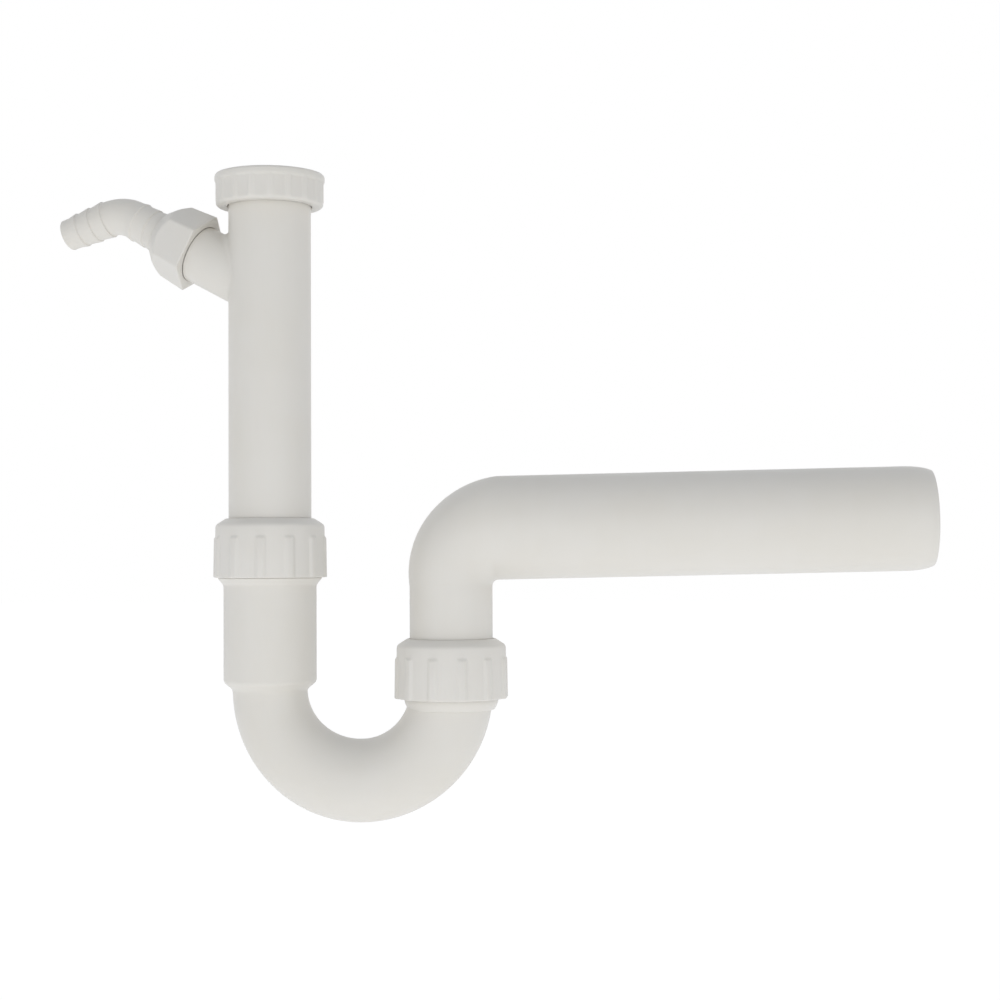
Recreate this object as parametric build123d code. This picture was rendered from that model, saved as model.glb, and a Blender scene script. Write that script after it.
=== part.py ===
"""Tubular trap for a sink: an inlet pipe with an appliance branch, a screwed U-bend and an outlet pipe.

Millimetres, +Z up. The origin is on the inlet pipe's axis, on top of the flat gasket that seals the
inlet against the sink's waste. +X points along the outlet pipe, away from the inlet.
"""

from build123d import *
from math import ceil, cos, degrees, radians, sin, tan
import os

# Inlet pipe, with the collar that the union nut pulls up against the sink's waste
inlet_diameter = 40.0
inlet_wall = 2.0
inlet_end_gap = 14.0
collar_step = 2.1
collar_thickness = 2.5
pipe_end_chamfer = 0.8

# Flat gasket on the inlet collar
gasket_thickness = 2.0

# Union nut at the inlet, for a G 1 1/2 male thread
union_height = 15.7
union_flange = 2.4
union_wall = 2.0
union_thread_depth = 1.9
union_mouth_chamfer = 0.8
union_bead_height = 3.4
union_bead_relief = 0.7
union_foot_chamfer = 1.0
union_rib_count = 18
union_rib_width = 3.0
union_rib_relief = 0.4

# Branch for an appliance's drain hose, moulded on the inlet pipe
branch_drop = 45.9
branch_angle = 28.0
branch_turn = 13.0
branch_diameter = 28.6
branch_reach = 41.7
branch_bore = 18.6
branch_thread_wall = 3.7
branch_thread_length = 14.3
branch_fillet = 3.0

# Gasket, hose nozzle and hexagon nut on the branch
nozzle_gasket_thickness = 2.0
nozzle_collar_thickness = 2.4
nozzle_collar_step = 1.3
nozzle_bore = 12.0
nozzle_inner_diameter = 18.8
nozzle_outer_diameter = 17.4
nozzle_tip_diameter = 15.6
nozzle_barb_relief = 0.7
nozzle_barb_pitch = 7.4
nozzle_barb_stand = 6.4
nozzle_land = 4.4
nozzle_inner_reach = 16.6
nozzle_elbow_radius = 20.0
nozzle_turn = 45.5
nozzle_outer_length = 23.6
nozzle_tip_chamfer = 0.6
nozzle_nut_flange = 3.8
nozzle_nut_wall = 4.1
nozzle_nut_draft = 4.5
nozzle_nut_cone = 8.0
nozzle_nut_rim = 2.0
nozzle_nut_end_wall = 1.4

# Trap bend: socket for the inlet pipe, U-bend and socket for the outlet pipe
trap_drop = 167.6
trap_wall = 2.2
socket_length = 70.3
socket_wall = 2.1
shoulder_height = 3.6
bend_radius = 44.0
neck_diameter = 36.0
outlet_socket_rise = 15.6
stop_collar_relief = 3.2
stop_collar_lip = 0.8
stop_collar_height = 4.6
outlet_shank_wall = 2.3
outlet_shank_length = 5.2
shank_chamfer = 0.8

# Compression joint, the same at both ends of the trap bend
thread_wall = 2.9
mouth_chamfer = 0.5
nut_wall = 2.8
nut_height = 28.6
nut_flange = 3.2
nut_shoulder_drop = 3.4
nut_shoulder_width = 5.0
nut_draft = 0.4
nut_foot_chamfer = 1.6
nut_rib_count = 12
nut_rib_width = 4.2
nut_rib_relief = 1.0
nut_rib_inset = 8.4
slip_ring_thickness = 2.0
slip_ring_wall = 1.9
seal_seat_depth = 6.0
seal_seat_flare = 1.9
seal_depth = 4.2
seal_stand = 3.2

# Outlet pipe: leg in the trap bend, elbow with a tight inner corner, and spigot
leg_diameter = 40.0
outlet_diameter = 50.0
outlet_wall = 2.4
leg_length = 49.4
elbow_inner_radius = 3.0
elbow_turn = 89.0
outlet_length = 207.5
spigot_chamfer_length = 8.0
spigot_chamfer_depth = 1.9

# Room between pieces that slide or turn on each other
slide_gap = 0.3
seal_gap = 0.2
thread_gap = 0.3
face_gap = 0.2
hole_gap = 0.5

# Sections in each lofted bend
LOFT_STEPS = 4

# Levels and radii that several pieces share
inlet_radius = inlet_diameter / 2
inlet_bore_radius = inlet_radius - inlet_wall
collar_radius = inlet_radius + collar_step
collar_top = -gasket_thickness
collar_bottom = collar_top - collar_thickness
leg_radius = leg_diameter / 2
outlet_radius = outlet_diameter / 2

socket_mouth = -trap_drop
socket_bottom = socket_mouth - socket_length
bend_level = socket_bottom - shoulder_height
outlet_mouth = bend_level + outlet_socket_rise
inlet_end = socket_bottom + inlet_end_gap

# Under a nut's flange stand the slip ring and the seal, and the seal stands in the socket's mouth
nut_top = seal_stand + face_gap + slip_ring_thickness + face_gap + nut_flange
nut_bottom = nut_top - nut_height

# Along the branch: gasket, nozzle collar and nut flange, outwards from the branch's end
branch_bore_radius = branch_bore / 2
branch_thread_radius = branch_bore_radius + branch_thread_wall
branch_end = branch_reach + branch_thread_length
nozzle_start = branch_end + nozzle_gasket_thickness
nozzle_collar_end = nozzle_start + nozzle_collar_thickness
nozzle_nut_seat = nozzle_collar_end + face_gap
nozzle_nut_end = nozzle_nut_seat + nozzle_nut_flange
nozzle_bend_start = nozzle_nut_end + nozzle_inner_reach
nozzle_neck_radius = nozzle_inner_diameter / 2 + nozzle_barb_relief
nozzle_nut_hole = nozzle_neck_radius + slide_gap
nozzle_collar_radius = nozzle_nut_hole + nozzle_collar_step

# The branch points up and away from the outlet, turned a little to the back as the inlet pipe stands
# in its socket: local Z runs along the branch and local X rises across it
branch_out = Vector(-cos(radians(branch_turn)), sin(radians(branch_turn)), 0)
branch_rise = radians(branch_angle)
branch_frame = Plane(
    origin=(0, 0, collar_top - branch_drop),
    x_dir=Vector(0, 0, cos(branch_rise)) - branch_out * sin(branch_rise),
    z_dir=Vector(0, 0, sin(branch_rise)) + branch_out * cos(branch_rise),
)
inlet_socket_place = Pos(0, 0, socket_mouth)
outlet_socket_place = Pos(2 * bend_radius, 0, outlet_mouth)


def turned(*points):
    """A solid of revolution about Z, from the (radius, height) corners of its half section."""
    return revolve(Plane.XZ * make_face(Polyline(*points, close=True)), Axis.Z)


def ring(inner, outer, bottom, top):
    """A flat ring about Z."""
    return turned((inner, bottom), (outer, bottom), (outer, top), (inner, top))


def bar(radius, bottom, top):
    """A plain round bar about Z."""
    return turned((0, bottom), (radius, bottom), (radius, top), (0, top))


def elbow_bar(radius, reach, turn):
    """A round bar of one radius that leaves the origin along Z and turns towards X about a point at reach."""
    return revolve(Circle(radius), Axis((reach, 0, 0), (0, 1, 0)), turn)


def bent_bar(places, radii):
    """A smooth round bar through circles at (centre, direction) places in the XZ plane."""
    circles = [
        Plane(origin=centre, x_dir=(0, 1, 0), z_dir=direction) * Circle(radius)
        for (centre, direction), radius in zip(places, radii)
    ]
    return loft(circles)


def eased(start, end, share):
    """A value that leaves start and reaches end gently, as share runs from 0 to 1."""
    return start + (end - start) * share * share * (3 - 2 * share)


def grip_ribs(count, width, inner, low, high, slope):
    """Upright grip ribs round a nut, from the (radius, height) of their foot to that of their crown."""
    arc = degrees(width / low[0])
    section = make_face(
        Polyline(
            (inner, low[1]),
            (low[0] - slope, low[1]),
            (low[0], low[1] + slope),
            (high[0], high[1] - slope),
            (high[0] - slope, high[1]),
            (inner, high[1]),
            close=True,
        )
    )
    rib = revolve(Plane.XZ * section, Axis.Z, revolution_arc=arc)
    return [Rot(0, 0, 360 / count * i - arc / 2) * rib for i in range(count)]


# Inlet pipe: one moulding with its collar and its threaded branch
def inlet_pipe():
    pipe = turned(
        (0, collar_top),
        (collar_radius, collar_top),
        (collar_radius, collar_bottom),
        (inlet_radius, collar_bottom),
        (inlet_radius, inlet_end + pipe_end_chamfer),
        (inlet_radius - pipe_end_chamfer, inlet_end),
        (0, inlet_end),
    )
    branch = branch_frame * turned(
        (0, 0),
        (branch_diameter / 2, 0),
        (branch_diameter / 2, branch_reach),
        (branch_thread_radius, branch_reach),
        (branch_thread_radius, branch_end - pipe_end_chamfer),
        (branch_thread_radius - pipe_end_chamfer, branch_end),
        (0, branch_end),
    )
    body = pipe + branch
    # The branch and the pipe meet in one saddle, the only edge that is neither round nor straight
    saddle = [e for e in body.edges() if e.geom_type not in (GeomType.CIRCLE, GeomType.LINE)]
    body = fillet(saddle, branch_fillet)
    body -= bar(inlet_bore_radius, inlet_end, collar_top)
    body -= branch_frame * bar(branch_bore_radius, 0, branch_end)
    return body


def inlet_flat_gasket():
    return ring(inlet_bore_radius, collar_radius, collar_top, 0)


# Union nut: its flange hangs under the collar, its plain pocket holds collar and gasket
def inlet_union_nut():
    seat = collar_bottom - face_gap
    bottom = seat - union_flange
    top = bottom + union_height
    hole = inlet_radius + hole_gap
    pocket = collar_radius + slide_gap
    thread = collar_radius + union_thread_depth
    skin = thread + union_wall
    bead = skin + union_bead_relief
    bead_bottom = top - union_bead_height
    body = turned(
        (hole, bottom),
        (skin - union_foot_chamfer, bottom),
        (skin, bottom + union_foot_chamfer),
        (skin, bead_bottom - union_bead_relief),
        (bead, bead_bottom),
        (bead, top - union_bead_relief),
        (bead - union_bead_relief, top),
        (thread + union_mouth_chamfer, top),
        (thread, top - union_mouth_chamfer),
        (thread, 0),
        (pocket, 0),
        (pocket, seat),
        (hole, seat),
    )
    ribs = grip_ribs(
        union_rib_count,
        union_rib_width,
        thread + union_wall / 2,
        (skin + union_rib_relief, bottom + union_foot_chamfer),
        (skin + union_rib_relief, bead_bottom),
        union_rib_relief,
    )
    return body + ribs


# Branch end: gasket, barbed hose nozzle with a bent neck, and hexagon nut
def nozzle_gasket():
    return branch_frame * ring(nozzle_bore / 2, nozzle_collar_radius, branch_end, nozzle_start)


def barbs(start, end, root, tip):
    """Outline of a row of barbs: each steps up sharply, then slopes down towards the nozzle's tip."""
    taper = (tip - root) / (end - start)
    outline = [(root, start)]
    for i in range(ceil((end - start) / nozzle_barb_pitch)):
        edge = start + i * nozzle_barb_pitch
        foot = min(edge + nozzle_barb_pitch, end)
        outline.append((root + taper * (edge - start) + nozzle_barb_relief, edge))
        outline.append((root + taper * (foot - start), foot))
    return outline


def hose_nozzle():
    inner_radius = nozzle_inner_diameter / 2
    outer_radius = nozzle_outer_diameter / 2
    tip_radius = nozzle_tip_diameter / 2
    bore_radius = nozzle_bore / 2
    first_barb = nozzle_nut_end + nozzle_barb_stand
    barbs_end = nozzle_outer_length - nozzle_land

    inner_leg = turned(
        (0, nozzle_start),
        (nozzle_collar_radius, nozzle_start),
        (nozzle_collar_radius, nozzle_collar_end),
        (nozzle_neck_radius, nozzle_collar_end),
        (nozzle_neck_radius, nozzle_nut_end + nozzle_barb_stand / 2),
        *barbs(first_barb, nozzle_bend_start, inner_radius, inner_radius),
        (0, nozzle_bend_start),
    )

    # The neck turns down about a point beside the inner leg and narrows on the way
    places = []
    radii = []
    for i in range(LOFT_STEPS + 1):
        share = i / LOFT_STEPS
        turn = radians(nozzle_turn * share)
        centre = (
            nozzle_elbow_radius * (cos(turn) - 1),
            0,
            nozzle_bend_start + nozzle_elbow_radius * sin(turn),
        )
        places.append((centre, (-sin(turn), 0, cos(turn))))
        radii.append(eased(inner_radius, outer_radius, share))
    neck = bent_bar(places, radii)
    neck_place = Plane(origin=(0, 0, nozzle_bend_start), x_dir=(-1, 0, 0), z_dir=(0, 0, 1))
    neck_bore = neck_place * elbow_bar(bore_radius, nozzle_elbow_radius, nozzle_turn)

    end_centre, end_direction = places[-1]
    end_frame = Plane(origin=end_centre, x_dir=(0, 1, 0), z_dir=end_direction)
    outer_leg = turned(
        (0, 0),
        *barbs(0, barbs_end, outer_radius, tip_radius),
        (tip_radius, nozzle_outer_length - nozzle_tip_chamfer),
        (tip_radius - nozzle_tip_chamfer, nozzle_outer_length),
        (0, nozzle_outer_length),
    )

    body = inner_leg + neck + end_frame * outer_leg
    body -= bar(bore_radius, nozzle_start, nozzle_bend_start)
    body -= neck_bore
    body -= end_frame * bar(bore_radius, 0, nozzle_outer_length)
    return branch_frame * body


def nozzle_nut():
    rim = branch_reach + face_gap
    bore = branch_thread_radius + thread_gap
    across_flats = 2 * (bore + nozzle_nut_wall)
    across_corners = across_flats / cos(radians(30))
    hexagon = RegularPolygon(across_flats / 2, 6, major_radius=False)
    prism = Pos(0, 0, rim) * extrude(hexagon, nozzle_nut_end - rim, taper=nozzle_nut_draft)
    cone_start = nozzle_nut_end - nozzle_nut_cone
    cone_radius = across_corners / 2 - (cone_start - rim) * tan(radians(nozzle_nut_draft))
    cone = turned(
        (0, rim),
        (across_corners / 2, rim),
        (across_corners / 2, rim + nozzle_nut_rim),
        (cone_radius, cone_start),
        (nozzle_nut_hole + nozzle_nut_end_wall, nozzle_nut_end),
        (0, nozzle_nut_end),
    )
    body = prism & cone
    body -= bar(bore, rim, nozzle_nut_seat)
    body -= bar(nozzle_nut_hole, nozzle_nut_seat, nozzle_nut_end)
    return branch_frame * body


# Trap bend: one moulding, a socket with a stop collar, a U-bend that widens, and a short socket
def socket_hollow(pipe_radius, bottom):
    """The room in a socket below its mouth, with the cone that the wedge seal stands in."""
    bore = pipe_radius + slide_gap
    return turned(
        (0, bottom),
        (bore, bottom),
        (bore, -seal_seat_depth),
        (bore + seal_seat_flare, 0),
        (0, 0),
    )


def trap_bend():
    inlet_thread = inlet_radius + slide_gap + thread_wall
    outlet_thread = leg_radius + slide_gap + thread_wall
    socket_radius = inlet_radius + slide_gap + socket_wall
    neck_radius = neck_diameter / 2
    stop_top = nut_bottom - face_gap
    stop_radius = inlet_thread + stop_collar_relief
    shank_radius = leg_radius + slide_gap + outlet_shank_wall
    shank_bottom = nut_bottom - face_gap - outlet_shank_length
    neck_level = bend_level - socket_mouth

    inlet_socket = turned(
        (0, neck_level),
        (neck_radius, neck_level),
        (socket_radius, -socket_length),
        (socket_radius, stop_top - stop_collar_height),
        (stop_radius, stop_top - stop_collar_lip),
        (stop_radius, stop_top),
        (inlet_thread, stop_top),
        (inlet_thread, -mouth_chamfer),
        (inlet_thread - mouth_chamfer, 0),
        (0, 0),
    )
    outlet_socket = turned(
        (0, shank_bottom),
        (shank_radius - shank_chamfer, shank_bottom),
        (shank_radius, shank_bottom + shank_chamfer),
        (shank_radius, nut_bottom - face_gap),
        (outlet_thread, nut_bottom - face_gap),
        (outlet_thread, -mouth_chamfer),
        (outlet_thread - mouth_chamfer, 0),
        (0, 0),
    )

    # The U turns about a point between the legs: it widens as far as its lowest point, then stays round
    places = []
    radii = []
    for i in range(LOFT_STEPS + 1):
        share = i / LOFT_STEPS
        angle = radians(90 * share)
        centre = (bend_radius * (1 - cos(angle)), 0, bend_level - bend_radius * sin(angle))
        places.append((centre, (sin(angle), 0, -cos(angle))))
        radii.append(eased(neck_radius, leg_radius, share))
    rise_place = Plane(origin=(2 * bend_radius, 0, bend_level), x_dir=(-1, 0, 0), z_dir=(0, 0, -1))

    body = inlet_socket_place * inlet_socket
    body += bent_bar(places, radii)
    body += rise_place * elbow_bar(leg_radius, bend_radius, 90)
    body += outlet_socket_place * outlet_socket
    body -= bent_bar(places, [radius - trap_wall for radius in radii])
    body -= rise_place * elbow_bar(leg_radius - trap_wall, bend_radius, 90)
    shoulder_hollow = turned(
        (0, neck_level),
        (neck_radius - trap_wall, neck_level),
        (inlet_radius + slide_gap, -socket_length),
        (0, -socket_length),
    )
    body -= inlet_socket_place * shoulder_hollow
    body -= inlet_socket_place * socket_hollow(inlet_radius, -socket_length)
    body -= outlet_socket_place * socket_hollow(leg_radius, -outlet_socket_rise)
    return body


# Compression joint: ribbed nut, slip ring and wedge seal round a pipe, with Z from the socket's mouth
def compression_nut(pipe_radius):
    hole = pipe_radius + hole_gap
    bore = pipe_radius + slide_gap + thread_wall + thread_gap
    skin = bore + nut_wall
    foot = skin + nut_draft
    seat = nut_top - nut_flange
    body = turned(
        (hole, seat),
        (hole, nut_top),
        (skin - nut_shoulder_width, nut_top),
        (skin, nut_top - nut_shoulder_drop),
        (foot, nut_bottom + nut_foot_chamfer),
        (foot - nut_foot_chamfer, nut_bottom),
        (bore, nut_bottom),
        (bore, seat),
    )
    ribs = grip_ribs(
        nut_rib_count,
        nut_rib_width,
        bore + nut_wall / 2,
        (foot + nut_rib_relief, nut_bottom + nut_foot_chamfer),
        (skin + nut_rib_relief, nut_top - nut_rib_inset),
        nut_rib_relief,
    )
    return body + ribs


def slip_ring(pipe_radius):
    bottom = seal_stand + face_gap
    inner = pipe_radius + slide_gap
    return ring(inner, inner + slip_ring_wall, bottom, bottom + slip_ring_thickness)


def wedge_seal(pipe_radius):
    inner = pipe_radius + seal_gap
    seat = pipe_radius + slide_gap
    brim = seat + seal_seat_flare - seal_gap
    toe = seat + seal_seat_flare * (1 - seal_depth / seal_seat_depth) - seal_gap
    return turned((inner, -seal_depth), (toe, -seal_depth), (brim, 0), (brim, seal_stand), (inner, seal_stand))


# Outlet pipe: one moulding that widens round its elbow
def outlet_pipe():
    leg_bottom = bend_level + face_gap
    leg_top = leg_bottom + leg_length
    leg_place = Pos(2 * bend_radius, 0, 0)
    leg = turned(
        (0, leg_bottom),
        (leg_radius - pipe_end_chamfer, leg_bottom),
        (leg_radius, leg_bottom + pipe_end_chamfer),
        (leg_radius, leg_top),
        (0, leg_top),
    )

    # The elbow turns about a point just outside its inner corner
    corner_x = 2 * bend_radius + leg_radius + elbow_inner_radius
    places = []
    radii = []
    for i in range(LOFT_STEPS + 1):
        share = i / LOFT_STEPS
        turn = radians(elbow_turn * share)
        radius = leg_radius + (outlet_radius - leg_radius) * share
        reach = elbow_inner_radius + radius
        places.append(((corner_x - reach * cos(turn), 0, leg_top + reach * sin(turn)), (sin(turn), 0, cos(turn))))
        radii.append(radius)

    end_centre, end_direction = places[-1]
    end_frame = Plane(origin=end_centre, x_dir=(0, 1, 0), z_dir=end_direction)
    spigot = turned(
        (0, 0),
        (outlet_radius, 0),
        (outlet_radius, outlet_length - spigot_chamfer_length),
        (outlet_radius - spigot_chamfer_depth, outlet_length),
        (0, outlet_length),
    )

    body = leg_place * leg + bent_bar(places, radii) + end_frame * spigot
    body -= leg_place * bar(leg_radius - outlet_wall, leg_bottom, leg_top)
    body -= bent_bar(places, [radius - outlet_wall for radius in radii])
    body -= end_frame * bar(outlet_radius - outlet_wall, 0, outlet_length)
    return body


parts = {
    "inlet_pipe": inlet_pipe(),
    "inlet_flat_gasket": inlet_flat_gasket(),
    "inlet_union_nut": inlet_union_nut(),
    "nozzle_gasket": nozzle_gasket(),
    "hose_nozzle": hose_nozzle(),
    "nozzle_nut": nozzle_nut(),
    "trap_bend": trap_bend(),
    "inlet_compression_nut": inlet_socket_place * compression_nut(inlet_radius),
    "inlet_slip_ring": inlet_socket_place * slip_ring(inlet_radius),
    "inlet_wedge_seal": inlet_socket_place * wedge_seal(inlet_radius),
    "outlet_compression_nut": outlet_socket_place * compression_nut(leg_radius),
    "outlet_slip_ring": outlet_socket_place * slip_ring(leg_radius),
    "outlet_wedge_seal": outlet_socket_place * wedge_seal(leg_radius),
    "outlet_pipe": outlet_pipe(),
}

os.makedirs("parts", exist_ok=True)
for name, shape in parts.items():
    export_step(shape, f"parts/{name}.step")
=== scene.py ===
from math import atan2, cos, pi, radians, sin, tan

import bmesh
import bpy
from mathutils import Matrix, Vector


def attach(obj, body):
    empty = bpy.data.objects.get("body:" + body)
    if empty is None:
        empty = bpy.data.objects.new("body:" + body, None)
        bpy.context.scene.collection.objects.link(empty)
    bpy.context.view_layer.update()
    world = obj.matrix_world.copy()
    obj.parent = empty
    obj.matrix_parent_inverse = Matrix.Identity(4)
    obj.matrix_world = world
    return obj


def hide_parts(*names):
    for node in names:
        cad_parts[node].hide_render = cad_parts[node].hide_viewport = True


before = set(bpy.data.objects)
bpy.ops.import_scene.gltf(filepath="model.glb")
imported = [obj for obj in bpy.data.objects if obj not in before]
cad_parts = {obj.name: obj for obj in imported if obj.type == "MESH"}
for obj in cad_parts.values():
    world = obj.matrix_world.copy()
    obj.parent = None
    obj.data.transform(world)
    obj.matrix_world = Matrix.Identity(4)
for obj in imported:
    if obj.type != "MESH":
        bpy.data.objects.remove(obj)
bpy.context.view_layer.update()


# Inlet pipe: a 40 mm tube of white polypropylene that hangs from the sink's waste by its collar.
# The slanted branch for a drain hose is moulded on in one piece, with a soft fillet round its foot
# and a pipe thread on its end.
class Field:
    """A value over a surface: one socket of a node tree, so that sums on it are written as sums."""

    def __init__(self, tree, socket=None):
        self.tree = tree
        self.socket = socket

    def node(self, kind, settings=(), inputs=(), output=0):
        made = self.tree.nodes.new(kind)
        for name, value in dict(settings).items():
            setattr(made, name, value)
        for key, value in dict(inputs).items():
            if isinstance(value, Field):
                self.tree.links.new(value.socket, made.inputs[key])
            else:
                made.inputs[key].default_value = value
        return Field(self.tree, made.outputs[output] if made.outputs else None)

    def math(self, operation, *values):
        return self.node("ShaderNodeMath", {"operation": operation}, enumerate(values))

    def __add__(self, other):
        return self.math("ADD", self, other)

    def __sub__(self, other):
        return self.math("SUBTRACT", self, other)

    def __mul__(self, other):
        return self.math("MULTIPLY", self, other)

    def __rsub__(self, other):
        return self.math("SUBTRACT", other, self)

    def __abs__(self):
        return self.math("ABSOLUTE", self)

    __radd__ = __add__
    __rmul__ = __mul__

    def step(self, low, high):
        """0 below low, 1 above high, and smooth between them."""
        inputs = {"Value": self, "From Min": low, "From Max": high}
        return self.node("ShaderNodeMapRange", {"interpolation_type": "SMOOTHSTEP"}, inputs)

    def noise(self, scale, detail):
        """Soft random clouds over the place that this field gives."""
        inputs = {"Vector": self, "Scale": scale, "Detail": detail}
        return self.node("ShaderNodeTexNoise", inputs=inputs)

    def blend(self, first, second):
        """A colour that goes from first to second as this value goes from 0 to 1."""
        inputs = {"Factor": self, "A": first, "B": second}
        return self.node("ShaderNodeMix", {"data_type": "RGBA"}, inputs, output=2)


def bare_material(name):
    """A material with an empty node tree, and the field that its nodes are made from."""
    material = bpy.data.materials.new(name)
    material.use_nodes = True
    material.node_tree.nodes.clear()
    return material, Field(material.node_tree)


def polypropylene(name, colour, roughness, seam=None):
    """White moulded plastic: faint clouds, flow marks, a satin grain and, if given, a mould seam.

    The seam is named by the direction that it is square to.
    """
    material, surface = bare_material(name)
    place = surface.node("ShaderNodeTexCoord", output="Object")
    drawn_out = {"Vector": place, "Scale": (1.0, 1.0, 0.16)}
    drawn = surface.node("ShaderNodeMapping", inputs=drawn_out)
    cloud = place.noise(26.0, 3.0)
    flow = drawn.noise(120.0, 2.0)
    grain = place.noise(1500.0, 2.0)
    dots = {"Vector": place, "Scale": 170.0}
    speck = surface.node("ShaderNodeTexVoronoi", {"feature": "F1"}, dots)
    dust = 1 - speck.step(0.03, 0.075)
    shade_weights = (0.955, 0.945, 0.915)
    shade = tuple(part * weight for part, weight in zip(colour, shade_weights))
    shading = cloud.step(0.3, 0.75) * 0.45 + flow * 0.3 + dust * 0.25
    height = grain * 0.16 + flow * 0.3 + cloud * 0.9
    if seam:
        ends = {0: place, 1: seam}
        across = surface.node(
            "ShaderNodeVectorMath", {"operation": "DOT_PRODUCT"}, ends, output="Value"
        )
        height = height + (1 - abs(across).step(0.00012, 0.00042)) * 0.9
    relief = {"Strength": 0.32, "Distance": 0.00022, "Height": height}
    shader = surface.node(
        "ShaderNodeBsdfPrincipled",
        inputs={
            "Base Color": shading.blend((*colour, 1), (*shade, 1)),
            "Roughness": roughness + (cloud - 0.5) * 0.14 + (grain - 0.5) * 0.1,
            "Normal": surface.node("ShaderNodeBump", inputs=relief),
            "IOR": 1.49,
            "Subsurface Weight": 0.06,
            "Subsurface Radius": (0.004, 0.0035, 0.003),
            "Subsurface Scale": 1.0,
        },
    )
    surface.node("ShaderNodeOutputMaterial", inputs={"Surface": shader})
    return material


def thread(turns, pitch, root, crest, start, sides=48):
    """A screw thread's ridge, wound up the Z axis from the height start, in millimetres."""
    bm = bmesh.new()
    foot = root - 0.2 if crest > root else root + 0.2
    half_foot = 0.46 * pitch
    half_crest = 0.12 * pitch
    corners = [(foot, -half_foot), (crest, -half_crest), (crest, half_crest), (foot, half_foot)]
    section = [bm.verts.new((radius / 1000, 0, height / 1000)) for radius, height in corners]
    for first, second in zip(section, section[1:] + section[:1]):
        bm.edges.new((first, second))
    bmesh.ops.spin(
        bm,
        geom=bm.verts[:] + bm.edges[:],
        cent=(0, 0, 0),
        axis=(0, 0, 1),
        dvec=(0, 0, pitch / sides / 1000),
        angle=2 * pi * turns,
        steps=int(turns * sides),
    )
    bmesh.ops.holes_fill(bm, edges=[edge for edge in bm.edges if edge.is_boundary], sides=4)
    bmesh.ops.recalc_face_normals(bm, faces=bm.faces)
    bmesh.ops.translate(bm, vec=(0, 0, start / 1000), verts=bm.verts)
    return bm


def piece(bm, name, material, body, nodes=(), place=None):
    """The finished object of a mesh, smooth but for its sharp edges, riding on its body."""
    if place:
        bmesh.ops.transform(bm, matrix=place, verts=bm.verts)
        bmesh.ops.recalc_face_normals(bm, faces=bm.faces)
    mesh = bpy.data.meshes.new(name)
    bm.to_mesh(mesh)
    bm.free()
    mesh.shade_smooth()
    mesh.set_sharp_from_angle(angle=radians(38))
    mesh.materials.append(material)
    made = bpy.data.objects.new(name, mesh)
    bpy.context.scene.collection.objects.link(made)
    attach(made, body)
    if nodes:
        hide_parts(*nodes)
    return made


pipe_white = (0.742, 0.716, 0.662)
branch_turn = radians(13)
branch_rise = radians(28)
branch_seam = (sin(branch_turn), cos(branch_turn), 0)
inlet_plastic = polypropylene("inlet_pipe_plastic", pipe_white, 0.40, branch_seam)
inlet_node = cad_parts["inlet_pipe"]
inlet_node.data.materials.clear()
inlet_node.data.materials.append(inlet_plastic)

# Along the branch: X rises across it and Z runs out of it, from where it meets the pipe's axis
branch_foot = Vector((0, 0, -0.0479))
branch_out = Vector((-cos(branch_turn), sin(branch_turn), 0))
branch_along = branch_out * cos(branch_rise) + Vector((0, 0, sin(branch_rise)))
branch_across = Vector((0, 0, cos(branch_rise))) - branch_out * sin(branch_rise)
branch_axes = Matrix((branch_across, branch_along.cross(branch_across), branch_along))
branch = Matrix.Translation(branch_foot) @ branch_axes.transposed().to_4x4()
branch_thread = thread(turns=6.4, pitch=1.814, root=13.0, crest=13.62, start=42.7)
piece(branch_thread, "branch_thread", inlet_plastic, "inlet", place=branch)


# Flat gasket: a black rubber washer on the inlet pipe's collar, squeezed against the sink's waste.
# It is punched from sheet, so its edges are only just rounded.
def turned(outline, steps=128):
    """A shell spun about Z from a closed half section, in millimetres.

    The section's corners are given as radius, height and rounding.
    """
    bm = bmesh.new()
    corners = [bm.verts.new((radius / 1000, 0, height / 1000)) for radius, height, _ in outline]
    for start, end in zip(corners, corners[1:] + corners[:1]):
        bm.edges.new((start, end))
    widths = {corner: rounding for corner, (_, _, rounding) in zip(corners, outline)}
    for width in sorted(set(widths.values()) - {0}):
        bmesh.ops.bevel(
            bm,
            geom=[corner for corner in corners if corner.is_valid and widths[corner] == width],
            offset=width / 1000,
            offset_type="OFFSET",
            affect="VERTICES",
            segments=3,
            profile=0.5,
            material=-1,
        )
    bmesh.ops.spin(
        bm,
        geom=bm.verts[:] + bm.edges[:],
        cent=(0, 0, 0),
        axis=(0, 0, 1),
        angle=2 * pi,
        steps=steps,
        use_merge=True,
    )
    bmesh.ops.remove_doubles(bm, verts=bm.verts, dist=1e-7)
    bmesh.ops.recalc_face_normals(bm, faces=bm.faces)
    return bm


def washer(inner, outer, low, high, rounding, steps=128):
    """A flat ring about Z between two radii and two heights, in millimetres."""
    corners = [(inner, low), (outer, low), (outer, high), (inner, high)]
    return turned([(radius, height, rounding) for radius, height in corners], steps)


def rubber(name, colour):
    """Black seal rubber: dull, with a bloom of grey in patches and a fine pitted grain."""
    material, surface = bare_material(name)
    place = surface.node("ShaderNodeTexCoord", output="Object")
    bloom = place.noise(90.0, 4.0)
    grain = place.noise(2200.0, 2.0)
    pale = tuple(part * 2.1 + 0.008 for part in colour)
    pits = {"Strength": 0.35, "Distance": 0.0001, "Height": grain}
    shader = surface.node(
        "ShaderNodeBsdfPrincipled",
        inputs={
            "Base Color": bloom.step(0.42, 0.72).blend((*colour, 1), (*pale, 1)),
            "Roughness": 0.62 + (bloom - 0.5) * 0.3,
            "Normal": surface.node("ShaderNodeBump", inputs=pits),
            "IOR": 1.52,
        },
    )
    surface.node("ShaderNodeOutputMaterial", inputs={"Surface": shader})
    return material


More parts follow.
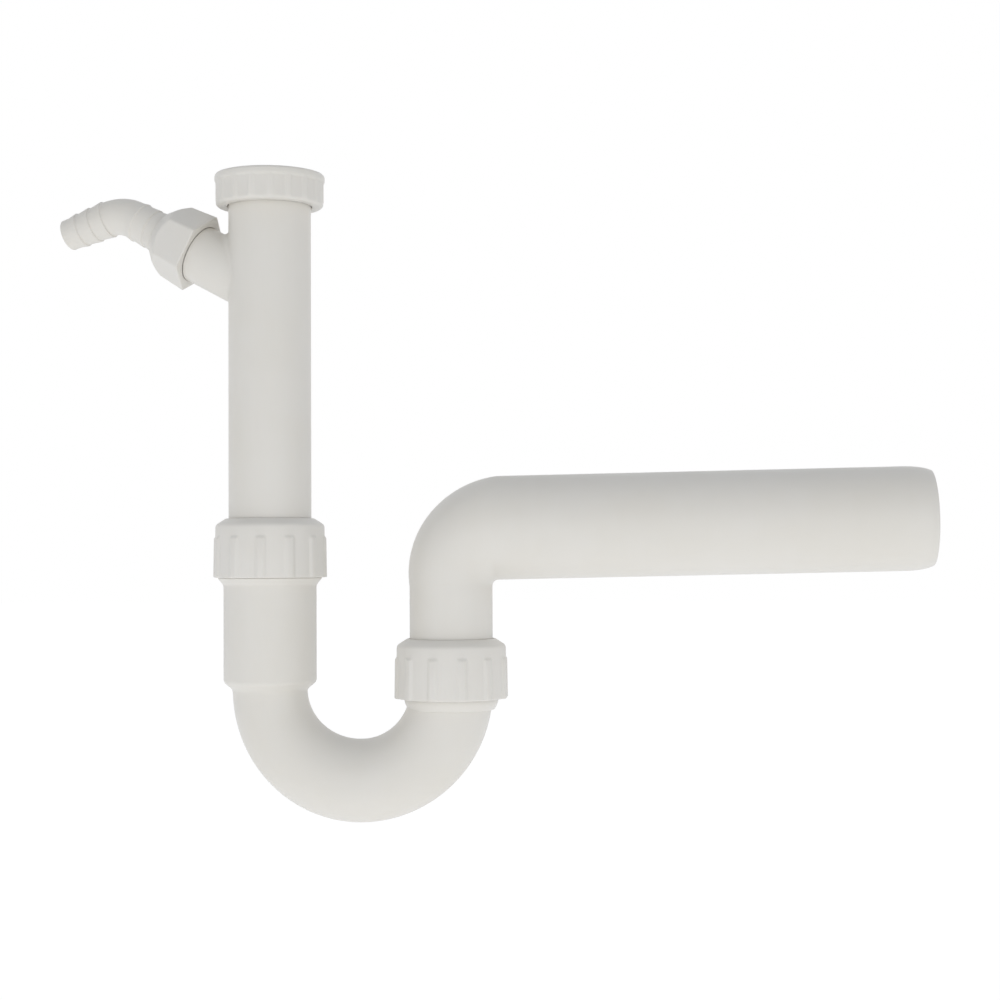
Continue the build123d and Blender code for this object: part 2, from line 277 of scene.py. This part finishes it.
seal_rubber = rubber("seal_rubber", (0.024, 0.024, 0.025))
flat_gasket = washer(inner=18.0, outer=22.1, low=-2.0, high=0.0, rounding=0.25)
piece(flat_gasket, "flat_gasket", seal_rubber, "inlet", ["inlet_flat_gasket"])


# Union nut: a polypropylene nut that hangs under the inlet pipe's collar and screws up onto the
# sink's waste. Its rim is a rounded bead, its skin has eighteen shallow grip ribs, and its bore is
# threaded.
def eased(start, end, share):
    """A value that leaves start and reaches end gently, as share runs from 0 to 1."""
    share = min(max(share, 0), 1)
    return start + (end - start) * share * share * (3 - 2 * share)


def raise_ribs(bm, count, width, low, high, radius, relief, ease):
    """Swells upright ribs out of a nut's skin past a radius, with soft sides, in millimetres."""
    for vert in bm.verts:
        reach = vert.co.xy.length * 1000
        around = atan2(vert.co.y, vert.co.x) * count / (2 * pi)
        aside = abs((around + 0.5) % 1 - 0.5) * 2 * pi / count * reach
        height = vert.co.z * 1000
        if reach > radius:
            flank = eased(0, relief, (width / 2 - aside) / ease + 0.5)
            foot = eased(0, 1, (height - low) / ease)
            head = eased(0, 1, (high - height) / ease)
            vert.co.xy *= 1 + flank * foot * head / reach
    bmesh.ops.recalc_face_normals(bm, faces=bm.faces)


nut_white = (0.742, 0.718, 0.668)
union_plastic = polypropylene("union_nut_plastic", nut_white, 0.43)
union_skin = 26.0
union_bore = 24.0
union_rib_steps = (-5.6, -5.3, -5.0)
union_nut = turned(
    [
        (20.5, -7.1, 0.5),
        (25.0, -7.1, 0.5),
        (union_skin, -6.1, 0.5),
        *((union_skin, height, 0) for height in union_rib_steps),
        (union_skin, 4.5, 0.5),
        (26.7, 5.2, 0.5),
        (26.7, 8.6, 1.3),
        (24.8, 8.6, 0.3),
        (union_bore, 7.8, 0.2),
        (union_bore, 0.0, 0.15),
        (22.4, 0.0, 0.25),
        (22.4, -4.7, 0.3),
        (20.5, -4.7, 0.3),
    ],
    steps=360,
)
raise_ribs(union_nut, 18, width=3.0, low=-5.9, high=5.3, radius=25.9, relief=0.35, ease=1.0)
piece(union_nut, "union_nut", union_plastic, "union_nut", ["inlet_union_nut"])
union_thread = thread(turns=2.7, pitch=2.309, root=union_bore, crest=22.9, start=1.1, sides=64)
piece(union_thread, "union_nut_thread", union_plastic, "union_nut")


# Nozzle gasket: a thin black rubber washer between the branch's end and the nozzle's collar. It is
# punched from sheet, and a hair of room on both faces lets the nozzle turn on it.
branch_gasket = washer(inner=6.0, outer=11.7, low=56.05, high=57.95, rounding=0.2, steps=64)
piece(
    branch_gasket,
    "branch_gasket",
    seal_rubber,
    "nozzle_seal",
    ["nozzle_gasket"],
    branch,
)


# Hose nozzle: a bent polypropylene tube that a drain hose is pushed onto. Low barbs with steep
# edges towards the nut hold the hose, and a collar behind the nut holds the nozzle on the branch.
def bend(bm, start, end, cuts, middle_line):
    """Bends a straight shell along a middle line, with cuts across it between two heights."""
    for index in range(cuts + 1):
        height = start + (end - start) * index / cuts
        bmesh.ops.bisect_plane(
            bm,
            geom=bm.verts[:] + bm.edges[:] + bm.faces[:],
            plane_co=(0, 0, height / 1000),
            plane_no=(0, 0, 1),
            dist=1e-7,
        )
    for vert in bm.verts:
        centre, across = middle_line(vert.co.z * 1000)
        vert.co = centre / 1000 + across * vert.co.x + Vector((0, vert.co.y, 0))
    bmesh.ops.recalc_face_normals(bm, faces=bm.faces)


neck_start = 81.0
neck_length = 15.882
neck_end = neck_start + neck_length
neck_radius = 20
neck_turn = radians(45.5)
barb_relief = 0.7
barb_slope = 0.4
barb_pitch = 7.4


def nozzle_line(height):
    """The nozzle's middle and the direction across it, at a height on the straight nozzle."""
    turn = neck_turn * min(max((height - neck_start) / neck_length, 0), 1)
    along = Vector((-sin(turn), 0, cos(turn)))
    across = Vector((cos(turn), 0, sin(turn)))
    rise = min(height, neck_start) + neck_radius * sin(turn)
    centre = Vector((neck_radius * (cos(turn) - 1), 0, rise))
    return centre + along * max(height - neck_end, 0), across


def barbs(first, roots):
    """The corners of a row of barbs, from the height of its first crest."""
    for index, root in enumerate(roots):
        crest = first + barb_pitch * index
        yield root, crest - barb_slope, 0.3
        yield root + barb_relief, crest, 0.3


nozzle_plastic = polypropylene("hose_nozzle_plastic", pipe_white, 0.42, branch_seam)
hose_nozzle = turned(
    [
        (6.0, 58.0, 0.2),
        (11.7, 58.0, 0.2),
        (11.7, 60.4, 0.2),
        (10.1, 60.4, 0.2),
        (10.1, 67.6, 0.6),
        *barbs(70.8, (9.4, 9.4)),
        (9.4, neck_start, 0.6),
        (9.29, 84.97, 0),
        (9.05, 88.94, 0),
        (8.81, 92.91, 0),
        *barbs(neck_end, (8.7, 8.353, 8.006)),
        (7.8, 116.082, 0.3),
        (7.8, 119.882, 0.3),
        (7.2, 120.482, 0.3),
        (6.0, 120.482, 0.3),
    ],
    steps=80,
)
bend(hose_nozzle, 81.7, 96.1, 14, nozzle_line)
piece(
    hose_nozzle,
    "hose_nozzle_body",
    nozzle_plastic,
    "nozzle",
    ["hose_nozzle"],
    branch,
)


# Nozzle nut: a hexagon nut of polypropylene that clamps the nozzle's collar on the branch. Its
# flats have a little draft, and a cone takes the corners off towards the hose.
def lay_ring(ring, radius_at, height_at):
    """Moves a ring of edges to a radius and height, in millimetres.

    Both follow the hexagon's corner factor, which is 1 in the middle of a flat.
    """
    for vert in {vert for edge in ring for vert in edge.verts}:
        turn = atan2(vert.co.y, vert.co.x)
        corner = 1 / cos(turn % (pi / 3) - pi / 6)
        reach = radius_at(corner) / 1000
        vert.co = (reach * cos(turn), reach * sin(turn), height_at(corner) / 1000)


def next_ring(bm, ring):
    """Extrudes a ring of edges, and gives the new ring."""
    made = bmesh.ops.extrude_edge_only(bm, edges=ring)["geom"]
    return [item for item in made if isinstance(item, bmesh.types.BMEdge) and item.is_boundary]


def soften(made, width):
    """Rounds a piece's sharp edges by width, in millimetres, and shades it by its broad faces."""
    bevel = made.modifiers.new("soft_edges", "BEVEL")
    bevel.width = width / 1000
    bevel.segments = 3
    bevel.limit_method = "ANGLE"
    bevel.angle_limit = radians(34)
    made.modifiers.new("broad_faces", "WEIGHTED_NORMAL").keep_sharp = True


flat_radius = 17.4
hexagon_rim = 41.9
hexagon_end = 64.4
hexagon_seat = 60.6
hexagon_bore = 14.0
nozzle_hole = 10.4
cone_start = 56.4
cone_foot = 18.95
cone_tip = 11.8
cone_slope = (cone_foot - cone_tip) / 8.0
draft = tan(radians(4.5))


def crease_height(corner):
    """Where the drafted hexagon meets the end cone."""
    gap = cone_foot + cone_start * cone_slope - (flat_radius + hexagon_rim * draft) * corner
    return gap / (cone_slope - draft * corner)


def crease_radius(corner):
    return (flat_radius - draft * (crease_height(corner) - hexagon_rim)) * corner


nozzle_nut = bmesh.new()
bmesh.ops.create_circle(nozzle_nut, segments=96, radius=flat_radius / 1000)
rim_ring = nozzle_nut.edges[:]
lay_ring(rim_ring, lambda corner: flat_radius * corner, lambda corner: hexagon_rim)
ring = next_ring(nozzle_nut, rim_ring)
lay_ring(ring, crease_radius, crease_height)
for radius, height in (
    (cone_tip, hexagon_end),
    (nozzle_hole, hexagon_end),
    (nozzle_hole, hexagon_seat),
    (hexagon_bore, hexagon_seat),
    (hexagon_bore, hexagon_rim),
):
    ring = next_ring(nozzle_nut, ring)
    lay_ring(ring, lambda corner: radius, lambda corner: height)
bmesh.ops.bridge_loops(nozzle_nut, edges=ring + rim_ring)
bmesh.ops.recalc_face_normals(nozzle_nut, faces=nozzle_nut.faces)
hexagon_plastic = polypropylene("nozzle_nut_plastic", nut_white, 0.43)
hexagon_nut = piece(
    nozzle_nut,
    "hexagon_nut",
    hexagon_plastic,
    "nozzle_nut",
    ["nozzle_nut"],
    branch,
)
soften(hexagon_nut, 0.8)


# Trap bend: the U that holds the water, one polypropylene moulding with its socket for the inlet
# pipe, a stop collar under the nut and a thread on both mouths. The bore narrows below the socket,
# then widens round the bend to the outlet leg.
inlet_mouth = -167.6
outlet_mouth = -225.9
bend_radius = 44
half_bend = bend_radius * pi / 2
bend_start = 73.9
bend_end = bend_start + 2 * half_bend
trap_wall = 2.2


def trap_line(height):
    """The trap's middle and the direction across it, at a length down from its inlet mouth."""
    turn = min(max((height - bend_start) / bend_radius, 0), pi)
    depth = inlet_mouth - min(height, bend_start) - bend_radius * sin(turn)
    centre = Vector((bend_radius - bend_radius * cos(turn), 0, depth))
    return centre, Vector((cos(turn), 0, sin(turn)))


trap_plastic = polypropylene("trap_bend_plastic", pipe_white, 0.41, (0, 1, 0))
widening = [
    (eased(18.0, 20.0, step / 8), bend_start + half_bend * step / 8) for step in range(1, 9)
]
trap_bend = turned(
    [
        (22.2, 0.0, 0.1),
        (22.7, 0.0, 0.2),
        (22.7, 19.86, 0.1),
        (25.0, 19.86, 0.3),
        (25.0, 20.4, 0.3),
        (22.4, 23.5, 1.0),
        (22.4, 70.3, 1.2),
        (18.0, bend_start, 1.2),
        *((radius, height, 0) for radius, height in widening),
        (20.0, bend_end, 0),
        (20.0 - trap_wall, bend_end, 0),
        *((radius - trap_wall, height, 0) for radius, height in reversed(widening)),
        (18.0 - trap_wall, bend_start, 0.8),
        (20.3, 70.3, 0.8),
        (20.3, 6.0, 0.3),
    ]
)
bend(trap_bend, bend_start + 0.6, bend_end - 0.6, 44, trap_line)
outlet_socket = turned(
    [
        (18.9, -251.0, 0.1),
        (20.9, -251.2, 0.4),
        (22.6, -247.6, 1.0),
        (22.7, outlet_mouth, 0.2),
        (22.2, outlet_mouth, 0.1),
        (20.3, -231.9, 0.3),
        (20.3, -241.5, 0.2),
        (18.9, -241.5, 0.1),
    ]
)
outlet_place = Matrix.Translation((2 * bend_radius / 1000, 0, 0))
piece(trap_bend, "trap_bend_body", trap_plastic, "trap", ["trap_bend"])
piece(
    outlet_socket,
    "trap_outlet_socket",
    trap_plastic,
    "trap",
    place=outlet_place,
)
mouths = {
    "inlet": Matrix.Translation((0, 0, inlet_mouth / 1000)),
    "outlet": outlet_place @ Matrix.Translation((0, 0, outlet_mouth / 1000)),
}
for name, mouth in mouths.items():
    mouth_thread = thread(turns=7.2, pitch=2.309, root=22.7, crest=23.7, start=-18.6, sides=64)
    piece(mouth_thread, f"trap_{name}_thread", trap_plastic, "trap", place=mouth)


# Compression nuts: two ribbed polypropylene nuts on the trap's mouths. Each presses a smooth slip
# ring down on a black rubber wedge seal, which closes the gap round the pipe. Twelve broad ribs
# give the hand its grip.
def compression_nut():
    """A nut about Z, with the edge of the mouth that it closes at height 0, in millimetres."""
    bore = 24.0
    hole = 20.5
    foot = -19.8
    rib_top = 0.8
    rib_steps = (rib_top, 0.4, 0.0, -0.4, -0.8, -1.2)
    bm = turned(
        [
            (hole, 8.8, 0.25),
            (21.3, 8.8, 0.5),
            (26.3, 5.6, 1.2),
            *((26.3 + 0.4 * (5.4 - height) / 24.6, height, 0) for height in rib_steps),
            (26.7, -19.4, 0.15),
            (26.3, foot, 0.15),
            (bore, foot, 0.3),
            (bore, 5.6, 0.3),
            (hole, 5.6, 0.3),
        ],
        steps=360,
    )
    raise_ribs(bm, 12, width=4.2, low=-22.0, high=rib_top, radius=26.0, relief=0.95, ease=2.0)
    return bm


nut_plastic = polypropylene("compression_nut_plastic", nut_white, 0.43)
ring_plastic = polypropylene("slip_ring_plastic", (0.70, 0.69, 0.66), 0.34)
rib_turns = {"inlet": radians(0), "outlet": radians(15)}
for name, mouth in mouths.items():
    piece(
        compression_nut(),
        f"{name}_nut",
        nut_plastic,
        f"{name}_nut",
        [f"{name}_compression_nut"],
        mouth @ Matrix.Rotation(rib_turns[name], 4, "Z"),
    )
    piece(
        washer(inner=20.3, outer=22.2, low=3.4, high=5.4, rounding=0.25, steps=96),
        f"{name}_ring",
        ring_plastic,
        f"{name}_ring",
        [f"{name}_slip_ring"],
        mouth,
    )
    wedge = turned(
        [
            (20.2, -4.2, 0.1),
            (20.67, -4.2, 0.1),
            (22.0, 0.0, 0.3),
            (22.0, 3.2, 0.3),
            (20.2, 3.2, 0.3),
        ],
        steps=96,
    )
    piece(
        wedge,
        f"{name}_wedge",
        seal_rubber,
        f"{name}_seal",
        [f"{name}_wedge_seal"],
        mouth,
    )


# Outlet pipe: one polypropylene moulding that stands in the trap's outlet mouth. Its elbow is tight
# on the inside and widens from 40 to 50 mm, and the end of its long spigot is rolled in softly to
# enter the drain's socket.
elbow_start = 49.4
elbow_length = 40
elbow_end = elbow_start + elbow_length
elbow_turn = radians(89)
elbow_pivot = Vector((111, 0, -191.9))
elbow_reach = 23
elbow_growth = 5
leg_radius = 20.0
spigot_radius = 25.0
outlet_wall = 2.4


def outlet_line(height):
    """The outlet's middle and the direction across it, at a length from the leg's lower end."""
    share = min(max((height - elbow_start) / elbow_length, 0), 1)
    turn = elbow_turn * share
    across = Vector((cos(turn), 0, -sin(turn)))
    centre = elbow_pivot - across * (elbow_reach + elbow_growth * share)
    straight = min(height - elbow_start, 0) + max(height - elbow_end, 0)
    return centre + Vector((sin(turn), 0, cos(turn))) * straight, across


outlet_plastic = polypropylene("outlet_pipe_plastic", pipe_white, 0.40, (0, 1, 0))
outlet_pipe = turned(
    [
        (leg_radius - outlet_wall, 0.0, 0.4),
        (leg_radius, 0.0, 0.6),
        (leg_radius, elbow_start, 0),
        (spigot_radius, elbow_end, 0),
        (spigot_radius, 286.4, 3.0),
        (24.5, 291.4, 2.0),
        (23.8, 294.6, 1.2),
        (22.9, 296.9, 0.1),
        (spigot_radius - outlet_wall, 296.9, 0.1),
        (spigot_radius - outlet_wall, elbow_end, 0),
        (leg_radius - outlet_wall, elbow_start, 0),
    ]
)
bend(outlet_pipe, elbow_start, elbow_end, 30, outlet_line)
piece(outlet_pipe, "outlet_pipe_body", outlet_plastic, "outlet", ["outlet_pipe"])


# Studio: an even white room, a little dimmer and cooler overhead, and a pale floor below the
# hanging trap that keeps its soft shadow.
room = bpy.data.worlds.new("white_room")
bpy.context.scene.world = room
room.use_nodes = True
room.node_tree.nodes.clear()
air = Field(room.node_tree)
pure_white = (1, 1, 1, 1)
white_wall = (0.94, 0.94, 0.94, 1)
dim_ceiling = (0.435, 0.46, 0.51, 1)
way = air.node("ShaderNodeTexCoord", output="Generated")
overhead = air.node("ShaderNodeSeparateXYZ", inputs={"Vector": way}, output="Z")
glow = overhead.step(-0.2, 0.85).blend(white_wall, dim_ceiling)
seen = air.node("ShaderNodeLightPath", output="Is Camera Ray")
for ray in ("Is Glossy Ray", "Is Transmission Ray"):
    seen = seen.math("MAXIMUM", seen, air.node("ShaderNodeLightPath", output=ray))
backdrop = seen.blend(glow, pure_white)
sky = air.node("ShaderNodeBackground", inputs={"Color": backdrop, "Strength": 1.0})
air.node("ShaderNodeOutputWorld", inputs={"Surface": sky})

ground = bmesh.new()
bmesh.ops.create_grid(ground, x_segments=2, y_segments=2, size=6)
bmesh.ops.translate(ground, vec=(0, 0, -0.36), verts=ground.verts)
floor_mesh = bpy.data.meshes.new("floor")
ground.to_mesh(floor_mesh)
ground.free()
floor = bpy.data.objects.new("floor", floor_mesh)
bpy.context.scene.collection.objects.link(floor)
floor_paint, paint = bare_material("floor_paint")
floor_mesh.materials.append(floor_paint)
watched = paint.node("ShaderNodeLightPath", output="Is Camera Ray")
white = paint.node("ShaderNodeEmission", inputs={"Color": pure_white, "Strength": 1.1})
chalk = paint.node("ShaderNodeBsdfDiffuse", inputs={"Color": (0.9, 0.9, 0.9, 1)})
mixed = paint.node("ShaderNodeMixShader", inputs={0: watched * 0.86, 1: chalk, 2: white})
paint.node("ShaderNodeOutputMaterial", inputs={"Surface": mixed})


# Soft lamps: broad and low in front and on the floor, so that the undersides are the brightest, as
# in the photograph.
def soft_lamp(name, place, aim, width, height, power):
    lamp = bpy.data.lights.new(name, "AREA")
    lamp.shape = "RECTANGLE"
    lamp.size = width
    lamp.size_y = height
    lamp.energy = power
    made = bpy.data.objects.new(name, lamp)
    made.location = place
    made.rotation_euler = (Vector(aim) - Vector(place)).to_track_quat("-Z", "Y").to_euler()
    made.visible_camera = False
    bpy.context.scene.collection.objects.link(made)


soft_lamp(
    "low_front_lamp",
    place=(0.1, -0.62, -0.345),
    aim=(0.1, 0, -0.12),
    width=1.6,
    height=0.6,
    power=2.0,
)
soft_lamp(
    "floor_lamp",
    place=(0.1, 0, -0.355),
    aim=(0.1, 0, 0),
    width=2.4,
    height=2.4,
    power=8.6,
)


# Camera: as far off, as level and as slightly turned as the photograph was taken, with a lens that
# gives its frame.
lens = bpy.data.cameras.new("camera")
lens.lens = 68.4
lens.sensor_width = 36
camera_aim = Vector((0.111842, 0, -0.150495))
camera_distance = 0.9171
camera_turn = (
    Matrix.Rotation(radians(2.987), 3, "Z")
    @ Matrix.Rotation(radians(1.538), 3, "X")
    @ Matrix.Rotation(radians(0.2554), 3, "Y")
)
right, ahead, up = camera_turn.col
camera = bpy.data.objects.new("camera", lens)
camera_axes = Matrix((right, up, -ahead)).transposed().to_4x4()
camera.matrix_world = Matrix.Translation(camera_aim - ahead * camera_distance) @ camera_axes
bpy.context.scene.collection.objects.link(camera)
bpy.context.scene.camera = camera
bpy.context.scene.view_settings.view_transform = "Standard"
